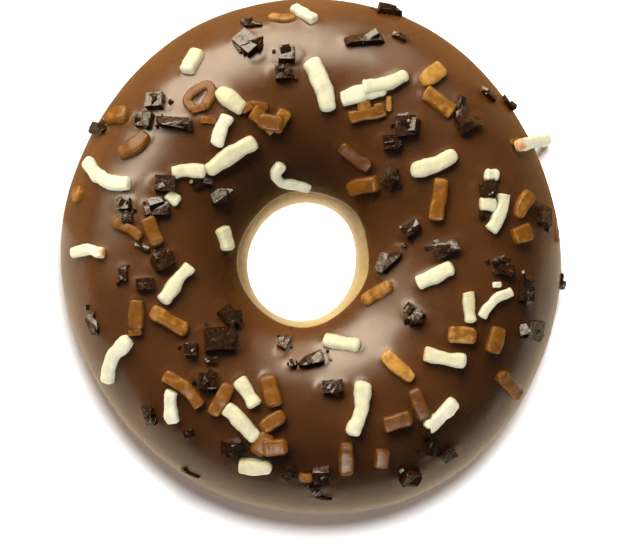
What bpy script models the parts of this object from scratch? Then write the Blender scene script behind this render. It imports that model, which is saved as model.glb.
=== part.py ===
"""A ring doughnut: a dough ring under a chocolate icing strewn with broken chocolate.

Metres, +Z up. The origin is on the surface that the doughnut rests on, below the middle of its
outline. Seen from above, +Y is the top of the photograph and +X its right-hand side.
Sizes below are in millimetres and angles in degrees. A place on the ring is given by its clock
angle round the hole, from +X towards +Y, and its turn round the section: 0 at the outer side,
90 on the crest, 180 in the hole and 270 underneath.
"""

import math
import random

import bmesh
import bpy
from mathutils import Vector
from mathutils.geometry import intersect_point_line

MM = 0.001

# The dough ring
DOUGH_RADIUS = 44.1
HOLE_RADIUS = 10.2
EQUATOR_HEIGHT = 14.0
CREST_RISE = 16.3
UNDERSIDE_DROP = 14.6
UPPER_ROUNDNESS = 2.1
LOWER_ROUNDNESS = 2.6

# Each lobe is its number of bulges round the ring, its depth and the clock angle of its first bulge.
OUTLINE_LOBES = ((2, 1.0, 104), (3, 0.23, 67), (6, 0.15, 0))
HOLE_LOBES = ((1, 2.0, 201), (2, 0.6, 67))
CREST_LOBES = ((1, 0.5, 250), (2, 0.4, 20), (5, 0.15, 40))

# The ring's crest lies outside the middle of its section, most of all at the photograph's foot.
CREST_LEAN = 0.9
LEAN_LOBES = ((1, 1.1, 260),)
LEAN_STEPS = 12

# The icing
ICING_GAP = 0.4
ICING_THICKNESS = 1.25
ICING_HOLE_TURN = 146.5
ICING_OUTER_TURN = -30.0
HOLE_EDGE_LOBES = ((1, 1.2, 340), (2, 1.5, 90), (5, 0.8, 10))
OUTER_EDGE_LOBES = ((1, 3.0, 80), (4, 2.5, 25), (7, 1.6, 60))
DRIP_CLOCK = 283.0
DRIP_SPREAD = 6.0
DRIP_TURN = 9.0

# How finely the rings are divided
CLOCK_STEPS = 56
DOUGH_SECTION_STEPS = 24
COAT_OUTER_STEPS = 14
COAT_INNER_STEPS = 12
LIP_ANGLES = (45, -45)

# The photograph was taken from this point. The toppings' places were read in it by eye, on a
# level plane at the reading height, and each is followed down the line of sight to the icing.
EYE = Vector((-30.4, -47.4, 713.0))
READING_HEIGHT = 15.0
READING_SHIFT = Vector((-0.54, -0.09))
SIGHT_STEPS = 6

# A bar is the x and y of its middle, its turn from +X, its length and its width, and how far its
# middle bulges to the left of its turn, if it does.
WHITE_BARS = (
    (-21.0, 34.9, 62, 4.7, 2.9), (-14.2, 28.4, -35, 6.0, 2.8), (-15.9, 22.8, 68, 6.2, 2.6, 0.3),
    (-14.3, 18.2, 33, 10.5, 2.8, 0.3), (-21.8, 15.2, 3, 5.8, 2.4, 0.3), (-38.6, 15.5, -58, 4.6, 2.5),
    (-34.9, 13.6, -12, 5.8, 2.5, -0.6), (-1.0, 43.7, -32, 4.8, 2.1), (1.7, 31.0, -70, 10.0, 3.0, 0.5),
    (9.8, 29.5, 12, 8.5, 2.7, 0.2), (13.5, 31.6, 18, 8.5, 2.7, -0.5), (40.2, 20.7, 13, 6.6, 2.1),
    (22.3, 17.2, 22, 9.0, 2.9, -0.4), (32.7, 14.8, -8, 2.7, 2.4), (32.1, 9.5, 0, 3.0, 2.4),
    (33.9, 8.2, 70, 7.0, 2.2, -0.5), (-39.5, 0.6, 0, 6.0, 1.9, 0.7), (-24.6, 10.5, -40, 2.6, 2.0),
    (-15.5, 3.3, -78, 4.3, 2.8), (-24.2, -5.0, 52, 8.3, 2.5, 0.2), (22.7, -3.2, 25, 7.3, 2.5),
    (28.8, -9.0, -84, 5.6, 2.2), (33.6, -8.3, 40, 7.3, 1.8, 0.6), (5.9, -15.7, -8, 6.8, 2.4),
    (24.3, -18.2, -10, 7.6, 2.7, -0.2), (-34.2, -18.6, 65, 9.0, 2.5, 1.0),
    (-24.6, -26.9, -88, 6.0, 2.1, -0.4), (-11.2, -24.5, -58, 6.0, 2.5), (-12.3, -29.8, -45, 8.0, 2.5, 0.3),
    (-9.7, -37.4, -6, 6.0, 2.7), (8.7, -27.2, 78, 9.8, 2.9, -0.7), (23.5, -28.3, 42, 7.5, 2.5, -0.4),
)
CARAMEL_BARS = (
    (-34.3, 25.2, 10, 4.0, 2.8), (-31.6, 20.1, 38, 6.5, 2.6, -0.4), (-18.3, 24.5, -5, 3.0, 1.3),
    (-5.0, 43.2, 0, 4.8, 1.8, -0.3), (-8.5, 24.6, -43, 5.7, 2.6), (-5.4, 24.6, 58, 4.5, 2.4),
    (-9.2, 27.3, -10, 3.6, 1.6), (10.4, 25.9, 12, 6.8, 2.2), (8.3, 18.2, -35, 6.6, 2.3),
    (10.0, 12.9, 12, 5.8, 2.7, 0.3), (22.0, 32.8, 35, 4.6, 2.9), (23.2, 28.0, -35, 6.2, 2.6),
    (-41.3, 11.2, 75, 3.0, 2.2), (-32.6, 4.8, -30, 6.0, 1.8, 0.3), (-28.2, 4.5, -65, 5.3, 2.7),
    (23.4, 10.5, 82, 7.8, 2.8), (38.5, 9.4, 62, 5.0, 2.3, 0.2), (38.1, 4.2, 20, 3.6, 3.0),
    (-31.0, -10.5, 87, 5.5, 2.6), (-25.3, -11.5, -30, 7.5, 2.7), (12.3, -6.6, 33, 6.2, 2.2),
    (27.4, -14.0, -3, 5.2, 3.0), (33.3, -14.8, 75, 5.0, 2.6), (-22.7, -23.9, -40, 8.8, 2.3, 0.6),
    (-15.9, -25.6, 62, 6.6, 2.4), (-7.0, -24.3, -75, 5.8, 2.8), (-6.6, -29.6, 30, 5.0, 2.7),
    (-8.5, -33.5, 56, 4.6, 2.8), (-6.2, -34.0, 8, 4.6, 2.8), (16.0, -19.7, -42, 7.2, 2.5),
    (19.7, -26.5, -68, 6.0, 2.6), (15.9, -29.5, 15, 5.4, 2.5), (35.7, -22.9, -48, 5.8, 2.6),
    (6.6, -36.1, 90, 6.0, 2.5), (12.8, -36.0, 80, 3.3, 2.6),
)
DARK_BARS = (
    (-27.5, 27.7, 0, 3.3, 3.3), (-29.4, 24.3, 0, 3.2, 3.0), (-24.4, 24.1, 0, 6.5, 2.3),
    (-10.3, 42.0, 5, 4.5, 2.0), (-11.2, 38.2, -40, 4.6, 3.8), (-4.1, 36.4, 0, 3.3, 3.3),
    (-4.8, 33.2, 0, 3.2, 3.0), (10.0, 39.5, 6, 7.6, 2.6), (14.0, 44.3, -10, 5.5, 2.5),
    (17.3, 23.6, 0, 4.2, 4.2), (14.8, 20.8, 0, 3.2, 3.0), (14.6, 14.2, 75, 4.6, 2.8),
    (27.2, 26.7, 90, 4.4, 2.2), (28.8, 24.2, 15, 5.3, 2.8), (32.1, 29.5, -40, 3.5, 1.9),
    (35.7, 27.7, -50, 3.2, 1.9), (-25.9, 13.0, 0, 4.2, 3.3), (-27.3, 8.7, 0, 5.2, 2.7),
    (-19.2, 13.6, 10, 3.3, 1.9), (-15.8, 11.2, 0, 4.5, 2.8), (-26.3, -0.8, 30, 4.0, 3.2),
    (-29.5, -5.0, 5, 3.7, 2.4), (-38.5, -12.0, -65, 4.5, 2.1), (-16.3, -15.0, 0, 6.2, 4.8),
    (-18.3, -22.3, 0, 3.5, 3.5), (-14.0, -34.0, 0, 3.6, 2.8), (2.0, -39.0, 0, 3.5, 3.5),
    (17.9, -39.2, 0, 3.2, 3.2), (0.0, -18.8, 10, 5.3, 2.6), (4.2, -23.6, 0, 4.2, 2.8),
    (24.8, 1.7, 18, 5.8, 3.0), (14.4, -0.9, 50, 5.8, 2.6), (19.0, -10.4, -35, 3.7, 2.8),
    (32.0, 12.2, 0, 3.2, 2.9), (38.7, -6.0, 90, 4.5, 3.0), (39.8, -12.8, 0, 3.6, 3.6),
    (18.4, 5.2, 30, 3.4, 2.4), (-4.7, -15.7, 70, 3.4, 2.0), (41.8, 7.4, 90, 3.6, 3.2),
    (35.2, -2.3, -5, 3.3, 2.2), (21.5, -33.8, 60, 3.4, 2.4), (-14.8, -10.9, -50, 4.2, 3.0),
    (-37.5, 22.8, 0, 2.5, 2.5), (-33.2, 9.3, 0, 2.5, 2.5), (24.8, -35.2, 30, 3.0, 2.4),
    (-21.3, -16.7, 0, 2.5, 2.5), (-3.7, -38.5, 40, 2.6, 2.2), (16.2, 39.8, -20, 3.0, 1.7),
    (-33.4, -3.2, 90, 2.6, 1.7), (-32.7, 6.9, 0, 2.2, 2.2),
)

# A curled piece is its width and the places that its middle line passes.
WHITE_CURLS = ((1.9, ((-5.2, 16.9), (-6.1, 15.3), (-4.9, 13.6), (-2.5, 13.1), (-0.4, 12.6))),)
CARAMEL_CURLS = (
    (1.3, ((-21.0, 26.6), (-22.0, 28.1), (-20.4, 30.0), (-18.5, 30.8), (-17.6, 29.3), (-18.9, 27.0))),
)

# Each kind of topping, in the order in which they fall: its thickness is a share of its width, up
# to its thickest, sides is the number of sides of its section, and a stiff one stays straight.
TOPPINGS = (
    {"bars": DARK_BARS, "curls": (), "flatness": 0.75, "thickest": 2.4, "sides": 5, "stiff": True},
    {
        "bars": CARAMEL_BARS, "curls": CARAMEL_CURLS,
        "flatness": 0.72, "thickest": 2.0, "sides": 5, "stiff": False,
    },
    {
        "bars": WHITE_BARS, "curls": WHITE_CURLS,
        "flatness": 0.82, "thickest": 2.3, "sides": 6, "stiff": False,
    },
)

# A piece is sunk in the icing by a share of its thickness, and in a piece below it by a little
# more. The straight part of a bar is a share of its length. Every piece is part stiff, so that it
# only half follows the icing's curve.
SINK_SHARE = 0.3
SETTLE_SHARE = 0.45
STRAIGHT_SHARE = 0.8
TIP_LENGTH = 0.5
STIFFNESS = 0.45
END_TAPER = 0.86
UNEVENNESS = 0.08
TOPPING_SEED = 7

# Past this share of the half width, the icing's side is too steep to lie on.
RIM_SHARE = 0.99
STEEPEST = 0.3

SHARP_ANGLE = 35.0
COLOURS = {"dough": (0.56, 0.30, 0.11), "icing": (0.13, 0.05, 0.025)}
ROUGHNESS = {"dough": 0.7, "icing": 0.35}


def clear_scene():
    for old in list(bpy.data.objects):
        bpy.data.objects.remove(old, do_unlink=True)


def swell(clock, lobes):
    """The height of some lobes at a clock angle."""
    return sum(depth * math.cos(bulges * math.radians(clock - first)) for bulges, depth, first in lobes)


def radii(clock, grow):
    """The ring's inner and outer radius, grown on both sides."""
    inner = HOLE_RADIUS + swell(clock, HOLE_LOBES) - grow
    outer = DOUGH_RADIUS + swell(clock, OUTLINE_LOBES) + grow
    return inner, outer


def signed_power(value, power):
    return math.copysign(abs(value) ** power, value)


def crest_lean(clock):
    return CREST_LEAN + swell(clock, LEAN_LOBES)


def skin_point(clock, turn, grow):
    """The point of the ring's skin, or of a skin that lies a growth outside it."""
    inner, outer = radii(clock, grow)
    upper = math.sin(math.radians(turn)) >= 0
    power = 2 / (UPPER_ROUNDNESS if upper else LOWER_ROUNDNESS)
    across = signed_power(math.cos(math.radians(turn)), power)
    up = signed_power(math.sin(math.radians(turn)), power)
    reach = CREST_RISE + swell(clock, CREST_LOBES) if upper else UNDERSIDE_DROP
    radius = inner + (outer - inner) * (1 + across) / 2
    if upper:
        radius += crest_lean(clock) * up ** 2
    height = EQUATOR_HEIGHT + up * (reach + grow)
    angle = math.radians(clock)
    return Vector((radius * math.cos(angle), radius * math.sin(angle), max(height, 0.0)))


def bridge(mesh, row, following):
    """Joins two closed rows of points with faces."""
    for index in range(len(row)):
        mesh.faces.new((row[index - 1], following[index - 1], following[index], row[index]))


def finished_object(name, mesh):
    """The mesh as an object, in triangles, with its faces pointing out."""
    bmesh.ops.triangulate(mesh, faces=mesh.faces[:])
    bmesh.ops.recalc_face_normals(mesh, faces=mesh.faces[:])
    data = bpy.data.meshes.new(name)
    mesh.to_mesh(data)
    mesh.free()
    return bpy.data.objects.new(name, data)


def ring(name, section_of_clock):
    """A closed ring through the section's points at every clock step."""
    mesh = bmesh.new()
    rows = []
    for step in range(CLOCK_STEPS):
        clock = 360 * step / CLOCK_STEPS
        rows.append([mesh.verts.new(point * MM) for point in section_of_clock(clock)])
    for row, following in zip(rows, rows[1:] + rows[:1]):
        bridge(mesh, row, following)
    made = finished_object(name, mesh)
    bpy.context.scene.collection.objects.link(made)
    return made


def dough_section(clock):
    turns = (360 * step / DOUGH_SECTION_STEPS for step in range(DOUGH_SECTION_STEPS))
    return [skin_point(clock, turn, 0.0) for turn in turns]


def icing_edges(clock):
    """The turns at which the icing ends, at the outer side and in the hole."""
    away = (clock - DRIP_CLOCK + 180) % 360 - 180
    drip = DRIP_TURN * math.exp(-((away / DRIP_SPREAD) ** 2))
    outer_edge = ICING_OUTER_TURN + swell(clock, OUTER_EDGE_LOBES) - drip
    return outer_edge, ICING_HOLE_TURN + swell(clock, HOLE_EDGE_LOBES)


def icing_section(clock):
    """The shell's section: along the top to the hole, round the lip, back below, and round again."""
    outer_edge, hole_edge = icing_edges(clock)
    half = ICING_THICKNESS / 2
    middle = ICING_GAP + half
    lip_turn = math.degrees(half / (CREST_RISE + middle))
    outer_face = [
        skin_point(clock, outer_edge + (hole_edge - outer_edge) * step / COAT_OUTER_STEPS, middle + half)
        for step in range(COAT_OUTER_STEPS + 1)
    ]
    inner_face = [
        skin_point(clock, hole_edge + (outer_edge - hole_edge) * step / COAT_INNER_STEPS, middle - half)
        for step in range(COAT_INNER_STEPS + 1)
    ]
    lips = []
    for edge, side in ((hole_edge, 1), (outer_edge, -1)):
        lip = []
        for angle in LIP_ANGLES:
            turn = edge + side * lip_turn * math.cos(math.radians(angle))
            lip.append(skin_point(clock, turn, middle + side * half * math.sin(math.radians(angle))))
        lips.append(lip)
    return outer_face + lips[0] + inner_face + lips[1]


def share_across(place):
    """Where a place seen from above lies between the hole's side, at -1, and the outer side, at 1."""
    clock = math.degrees(math.atan2(place.y, place.x))
    inner, outer = radii(clock, ICING_GAP + ICING_THICKNESS)
    across = 0.0
    for _ in range(LEAN_STEPS):
        up = (1 - min(abs(across), 1.0) ** UPPER_ROUNDNESS) ** (1 / UPPER_ROUNDNESS)
        upright = place.length - crest_lean(clock) * up ** 2
        across = (upright - inner) / (outer - inner) * 2 - 1
    return across


def icing_top(place):
    """The icing's top below a place seen from above, and its normal there."""
    clock = math.degrees(math.atan2(place.y, place.x))
    grow = ICING_GAP + ICING_THICKNESS
    across = max(-RIM_SHARE, min(RIM_SHARE, share_across(place)))
    turn = math.degrees(math.acos(signed_power(across, UPPER_ROUNDNESS / 2)))
    point = skin_point(clock, turn, grow)
    along = skin_point(clock + 1, turn, grow) - point
    around = skin_point(clock, turn + 1, grow) - point
    return point, along.cross(around).normalized()


def under_sight(read):
    """Where the line of sight through a place on the reading plane comes down on the icing."""
    aim = read + READING_SHIFT
    height = READING_HEIGHT
    for _ in range(SIGHT_STEPS):
        share = (EYE.z - height) / (EYE.z - READING_HEIGHT)
        place = EYE.xy + (aim - EYE.xy) * share
        height = icing_top(place)[0].z
    return place


def rest_height(place, placed):
    """How far above the icing a piece rests at a place, on what lies there already."""
    found = 0.0
    for first, last, reach, top in placed:
        share = intersect_point_line(place, first, last)[1]
        nearest = first.lerp(last, max(0.0, min(1.0, share)))
        if (nearest - place).length < reach:
            found = max(found, top)
    return found


def stations_on_icing(reads, width, thickness, placed):
    """The middles of a piece's sections on the icing, and the direction that its top faces."""
    places = [under_sight(read) for read in reads]
    middle = len(places) // 2
    base, normal = icing_top(places[middle])
    steepness = normal.xy / max(normal.z, STEEPEST)
    lifts = [rest_height(place, placed) for place in places]
    lifts[middle] = max(lifts[middle], (lifts[0] + lifts[-1]) / 2)
    sink = thickness * SINK_SHARE
    stations = []
    for place, lift in zip(places, lifts):
        level = base.z - steepness.dot(place - base.xy)
        height = icing_top(place)[0].z * (1 - STIFFNESS) + level * STIFFNESS
        stations.append(Vector((place.x, place.y, height)) + normal * (lift + thickness / 2 - sink))
    for end, opposite in ((0, -1), (-1, 0)):
        if share_across(places[end]) > RIM_SHARE:
            stations[end] = stations[middle] * 2 - stations[opposite]
    top = max(lifts) + thickness - sink - thickness * SETTLE_SHARE
    placed.append((places[0], places[-1], width / 2, top))
    return stations, normal


def plan_of_bar(x, y, turn, length, width, bulge=0.0):
    """The places, as read, of both ends of a bar's straight part and of its middle."""
    direction = Vector((math.cos(math.radians(turn)), math.sin(math.radians(turn))))
    reach = direction * length / 2 * STRAIGHT_SHARE
    middle = Vector((x, y))
    aside = Vector((-direction.y, direction.x))
    return [middle - reach, middle + aside * bulge, middle + reach]


def topping(reads, width, tip_length, kind, placed, rng):
    """One broken piece of chocolate: a bar of few sides with blunt, uneven ends."""
    thickness = min(width * kind["flatness"], kind["thickest"])
    stations, normal = stations_on_icing(reads, width, thickness, placed)
    if kind["stiff"]:
        stations = [stations[0], stations[-1]]
    mesh = bmesh.new()
    rows = []
    for index, station in enumerate(stations):
        before = stations[max(index - 1, 0)]
        after = stations[min(index + 1, len(stations) - 1)]
        forward = (after - before).normalized()
        side = forward.cross(normal).normalized()
        upward = side.cross(forward)
        at_end = index in (0, len(stations) - 1)
        row = []
        for corner in range(kind["sides"]):
            angle = 2 * math.pi * (corner + 0.5) / kind["sides"]
            uneven = (END_TAPER if at_end else 1.0) * (1 + rng.uniform(-UNEVENNESS, UNEVENNESS))
            offset = side * math.cos(angle) * width / 2 + upward * math.sin(angle) * thickness / 2
            row.append(mesh.verts.new((station + offset * uneven) * MM))
        rows.append(row)
    for row, following in zip(rows, rows[1:]):
        bridge(mesh, row, following)
    for end, inward, row in ((stations[0], stations[1], rows[0]), (stations[-1], stations[-2], rows[-1])):
        tip = mesh.verts.new((end + (end - inward).normalized() * tip_length) * MM)
        for index in range(len(row)):
            mesh.faces.new((row[index - 1], row[index], tip))
    return finished_object("topping", mesh)


def toppings():
    """Every topping as an object in a collection of its own."""
    rng = random.Random(TOPPING_SEED)
    strewn = bpy.data.collections.new("toppings")
    bpy.context.scene.collection.children.link(strewn)
    placed = []
    for kind in TOPPINGS:
        for bar in kind["bars"]:
            length, width = bar[3:5]
            tip_length = length / 2 * (1 - STRAIGHT_SHARE)
            strewn.objects.link(topping(plan_of_bar(*bar), width, tip_length, kind, placed, rng))
        for width, route in kind["curls"]:
            reads = [Vector(read) for read in route]
            strewn.objects.link(topping(reads, width, TIP_LENGTH, kind, placed, rng))
    return strewn


def fuse(body, pieces):
    """Joins a collection's objects to a body, and removes the collection."""
    union = body.modifiers.new("toppings", "BOOLEAN")
    union.operation = "UNION"
    union.operand_type = "COLLECTION"
    union.collection = pieces
    union.solver = "EXACT"
    bpy.context.view_layer.objects.active = body
    bpy.ops.object.modifier_apply(modifier=union.name)
    for piece in list(pieces.objects):
        bpy.data.objects.remove(piece, do_unlink=True)
    bpy.data.collections.remove(pieces)


def island_of(start):
    """Every point that edges join to a point."""
    island = {start}
    search = [start]
    while search:
        for edge in search.pop().link_edges:
            found = set(edge.verts) - island
            island |= found
            search.extend(found)
    return island


def keep_largest_body(made):
    """Drops every loose scrap and sealed hollow, which leaves the one body."""
    mesh = bmesh.new()
    mesh.from_mesh(made.data)
    unseen = set(mesh.verts)
    islands = []
    while unseen:
        islands.append(island_of(next(iter(unseen))))
        unseen -= islands[-1]
    largest = max(islands, key=len)
    scraps = [vert for vert in mesh.verts if vert not in largest]
    bmesh.ops.delete(mesh, geom=scraps, context="VERTS")
    bmesh.ops.triangulate(mesh, faces=mesh.faces[:])
    mesh.to_mesh(made.data)
    mesh.free()


def paint(made):
    """Gives an object the plain material of its name, and shades it smooth."""
    material = bpy.data.materials.new(made.name)
    material.use_nodes = True
    shader = material.node_tree.nodes["Principled BSDF"]
    shader.inputs["Base Color"].default_value = (*COLOURS[made.name], 1.0)
    shader.inputs["Roughness"].default_value = ROUGHNESS[made.name]
    shader.inputs["Metallic"].default_value = 0.0
    made.data.materials.clear()
    made.data.materials.append(material)
    made.data.shade_smooth()
    made.data.set_sharp_from_angle(angle=math.radians(SHARP_ANGLE))


def main():
    clear_scene()
    dough = ring("dough", dough_section)
    icing = ring("icing", icing_section)
    fuse(icing, toppings())
    keep_largest_body(icing)
    for made in (dough, icing):
        paint(made)


main()
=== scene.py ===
import math
import random

import bpy
import numpy as np
from mathutils import Euler, Matrix, Vector
from mathutils.geometry import intersect_point_line


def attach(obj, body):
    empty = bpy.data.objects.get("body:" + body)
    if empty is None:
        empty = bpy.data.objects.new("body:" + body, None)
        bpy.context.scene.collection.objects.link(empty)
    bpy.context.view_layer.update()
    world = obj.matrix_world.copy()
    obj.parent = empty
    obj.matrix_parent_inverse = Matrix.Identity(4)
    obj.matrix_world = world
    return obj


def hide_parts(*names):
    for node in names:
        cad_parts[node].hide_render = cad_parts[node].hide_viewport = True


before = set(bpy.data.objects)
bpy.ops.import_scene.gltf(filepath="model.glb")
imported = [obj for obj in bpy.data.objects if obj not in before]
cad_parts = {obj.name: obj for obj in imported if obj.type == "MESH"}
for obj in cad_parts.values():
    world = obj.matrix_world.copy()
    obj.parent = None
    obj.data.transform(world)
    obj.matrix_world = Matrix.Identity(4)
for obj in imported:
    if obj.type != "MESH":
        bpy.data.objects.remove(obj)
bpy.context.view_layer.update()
mm = 0.001


def addNode(tree, kind, inputs=None, **settings):
    node = tree.nodes.new(kind)
    for name, value in settings.items():
        setattr(node, name, value)
    for name, value in (inputs or {}).items():
        if isinstance(value, bpy.types.NodeSocket):
            tree.links.new(value, node.inputs[name])
        else:
            node.inputs[name].default_value = value
    return node


def maths(tree, operation, first, second=0.0):
    return addNode(tree, "ShaderNodeMath", {0: first, 1: second}, operation=operation).outputs[0]


def scaled(tree, vector, factor):
    made = addNode(tree, "ShaderNodeVectorMath", {0: vector, "Scale": factor}, operation="SCALE")
    return made.outputs[0]


def aroundZero(tree, colour):
    # a noise's colour as a vector that is as often negative as positive
    made = addNode(tree, "ShaderNodeVectorMath", {0: colour, 1: (0.5, 0.5, 0.5)}, operation="SUBTRACT")
    return made.outputs[0]


def shifted(tree, geometry, offset):
    return addNode(tree, "GeometryNodeSetPosition", {"Geometry": geometry, "Offset": offset}).outputs[0]


def noiseOf(tree, size, detail, **inputs):
    scale = maths(tree, "DIVIDE", 1.0, size)
    return addNode(tree, "ShaderNodeTexNoise", dict(inputs, Scale=scale, Detail=detail)).outputs


def carried(tree, name, kind="FLOAT"):
    # an attribute that the host mesh carries
    return addNode(tree, "GeometryNodeInputNamedAttribute", {"Name": name}, data_type=kind).outputs[0]


def newTree(name, fields):
    # a geometry tree with named inputs, its way in and its way out
    tree = bpy.data.node_groups.new(name, "GeometryNodeTree")
    tree.interface.new_socket("Geometry", in_out="INPUT", socket_type="NodeSocketGeometry")
    tree.interface.new_socket("Geometry", in_out="OUTPUT", socket_type="NodeSocketGeometry")
    for field, kind in fields.items():
        tree.interface.new_socket(field, in_out="INPUT", socket_type="NodeSocket" + kind)
    return tree, tree.nodes.new("NodeGroupInput").outputs, tree.nodes.new("NodeGroupOutput").inputs


def finishTree(tree, geometry, material, wayOut):
    realized = addNode(tree, "GeometryNodeRealizeInstances", {"Geometry": geometry})
    smooth = addNode(tree, "GeometryNodeSetShadeSmooth", {"Geometry": realized.outputs[0]})
    painted = addNode(tree, "GeometryNodeSetMaterial", {"Geometry": smooth.outputs[0], "Material": material})
    tree.links.new(painted.outputs[0], wayOut[0])


def grown(name, host, tree, values):
    # what the tree makes of a host mesh, as one plain object
    piece = bpy.data.objects.new(name, host)
    bpy.context.scene.collection.objects.link(piece)
    modifier = piece.modifiers.new(tree.name, "NODES")
    modifier.node_group = tree
    for item in tree.interface.items_tree:
        if item.in_out == "INPUT" and item.name in values:
            modifier[item.identifier] = values[item.name]
    graph = bpy.context.evaluated_depsgraph_get()
    made = bpy.data.meshes.new_from_object(piece.evaluated_get(graph), depsgraph=graph)
    piece.modifiers.remove(modifier)
    piece.data = made
    print(name, len(made.polygons), "faces")
    return piece


def gridMesh(name, points):
    # points[row][column], closed both ways
    rows, columns = points.shape[:2]
    row, column = np.meshgrid(np.arange(rows), np.arange(columns), indexing="ij")
    nextRow = (row + 1) % rows
    nextColumn = (column + 1) % columns
    corners = (row * columns + column, nextRow * columns + column,
               nextRow * columns + nextColumn, row * columns + nextColumn)
    faces = np.stack(corners, axis=-1).reshape(-1, 4)
    mesh = bpy.data.meshes.new(name)
    mesh.from_pydata((points.reshape(-1, 3) * mm).tolist(), [], faces.tolist())
    return mesh


# What the materials are made of
def newMaterial(name, **values):
    material = bpy.data.materials.new(name)
    material.use_nodes = True
    tree = material.node_tree
    shader = tree.nodes["Principled BSDF"]
    for socket, value in values.items():
        shader.inputs[socket.replace("_", " ")].default_value = value
    places = addNode(tree, "ShaderNodeTexCoord").outputs["Object"]
    return material, tree, shader, places


def pattern(tree, places, size, detail=3.0, roughness=0.55):
    made = addNode(tree, "ShaderNodeTexNoise", {
        "Vector": places, "Scale": 1 / size, "Detail": detail, "Roughness": roughness})
    return made.outputs["Fac"]


def ramp(tree, value, stops):
    made = addNode(tree, "ShaderNodeValToRGB", {"Fac": value})
    elements = made.color_ramp.elements
    while len(elements) < len(stops):
        elements.new(0.5)
    for element, (position, colour) in zip(elements, stops):
        element.position = position
        element.color = (*colour, 1.0)
    return made.outputs["Color"]


def spread(tree, value, low, high, toLow, toHigh):
    made = addNode(tree, "ShaderNodeMapRange", {
        "Value": value, "From Min": low, "From Max": high, "To Min": toLow, "To Max": toHigh})
    return made.outputs["Result"]


def bumps(tree, shader, places, layers):
    # layers of relief, each the size and detail of its pattern and its depth
    normal = None
    for size, detail, depth in layers:
        inputs = {"Height": pattern(tree, places, size, detail), "Distance": depth, "Strength": 1.0}
        if normal:
            inputs["Normal"] = normal
        normal = addNode(tree, "ShaderNodeBump", inputs).outputs["Normal"]
    tree.links.new(normal, shader.inputs["Normal"])


# what most of a noise's values lie between, and nearly all of them
usualNoise = (0.3, 0.7)
wideNoise = (0.25, 0.75)

# The ring's form, in millimetres and degrees, as in the CAD model. A place on the ring is its clock
# angle round the hole and its turn round the section: 0 at the outer side, 90 on the crest, 180 in
# the hole. Each lobe is its number of bulges round the ring, its depth and its first bulge's clock.
ringForm = {
    "outerRadius": 44.1, "holeRadius": 10.2,
    "equatorHeight": 14.0, "crestRise": 16.3, "undersideDrop": 14.6,
    "upperRoundness": 2.1, "lowerRoundness": 2.6,
    "outlineLobes": ((2, 1.0, 104), (3, 0.23, 67), (6, 0.15, 0)),
    "holeLobes": ((1, 2.0, 201), (2, 0.6, 67)),
    "crestLobes": ((1, 0.5, 250), (2, 0.4, 20), (5, 0.15, 40)),
    "crestLean": 0.9, "leanLobes": ((1, 1.1, 260),), "leanSteps": 12,
}


def swell(clock, lobes):
    return sum(depth * np.cos(bulges * np.radians(clock - first)) for bulges, depth, first in lobes)


def ringRadii(clock, grow):
    inner = ringForm["holeRadius"] + swell(clock, ringForm["holeLobes"]) - grow
    outer = ringForm["outerRadius"] + swell(clock, ringForm["outlineLobes"]) + grow
    return inner, outer


def crestLean(clock):
    # how far the crest lies outside the middle of the section
    return ringForm["crestLean"] + swell(clock, ringForm["leanLobes"])


def signedPower(value, power):
    return np.sign(value) * np.abs(value) ** power


def skinPoints(clock, turn, grow):
    # points of the ring's skin, or of a skin that lies a growth outside it
    inner, outer = ringRadii(clock, grow)
    upper = np.sin(np.radians(turn)) >= 0
    power = np.where(upper, 2 / ringForm["upperRoundness"], 2 / ringForm["lowerRoundness"])
    across = signedPower(np.cos(np.radians(turn)), power)
    up = signedPower(np.sin(np.radians(turn)), power)
    crest = ringForm["crestRise"] + swell(clock, ringForm["crestLobes"])
    reach = np.where(upper, crest, ringForm["undersideDrop"])
    radius = inner + (outer - inner) * (1 + across) / 2 + crestLean(clock) * np.maximum(up, 0.0) ** 2
    height = np.maximum(ringForm["equatorHeight"] + up * (reach + grow), 0.0)
    angle = np.radians(clock)
    flat = (radius * np.cos(angle), radius * np.sin(angle), height)
    return np.stack(np.broadcast_arrays(*flat), axis=-1)


# The skin tree: slow waves and a fine grain on a closed ring
def rippleTree():
    tree, wayIn, wayOut = newTree("rippleSkin", {
        "Wave Size": "Float", "Wave Height": "Float", "Grain Size": "Float", "Grain Height": "Float",
        "Seed": "Float", "Material": "Material"})
    offsets = []
    for size, height in (("Wave Size", "Wave Height"), ("Grain Size", "Grain Height")):
        noise = addNode(tree, "ShaderNodeTexNoise", {
            "W": wayIn["Seed"], "Scale": maths(tree, "DIVIDE", 1.0, wayIn[size]), "Detail": 2.0,
        }, noise_dimensions="4D")
        centred = maths(tree, "SUBTRACT", noise.outputs["Fac"], 0.5)
        offsets.append(maths(tree, "MULTIPLY", centred, wayIn[height]))
    height = maths(tree, "ADD", *offsets)
    normal = addNode(tree, "GeometryNodeInputNormal").outputs[0]
    finishTree(tree, shifted(tree, wayIn[0], scaled(tree, normal, height)), wayIn["Material"], wayOut)
    return tree


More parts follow.
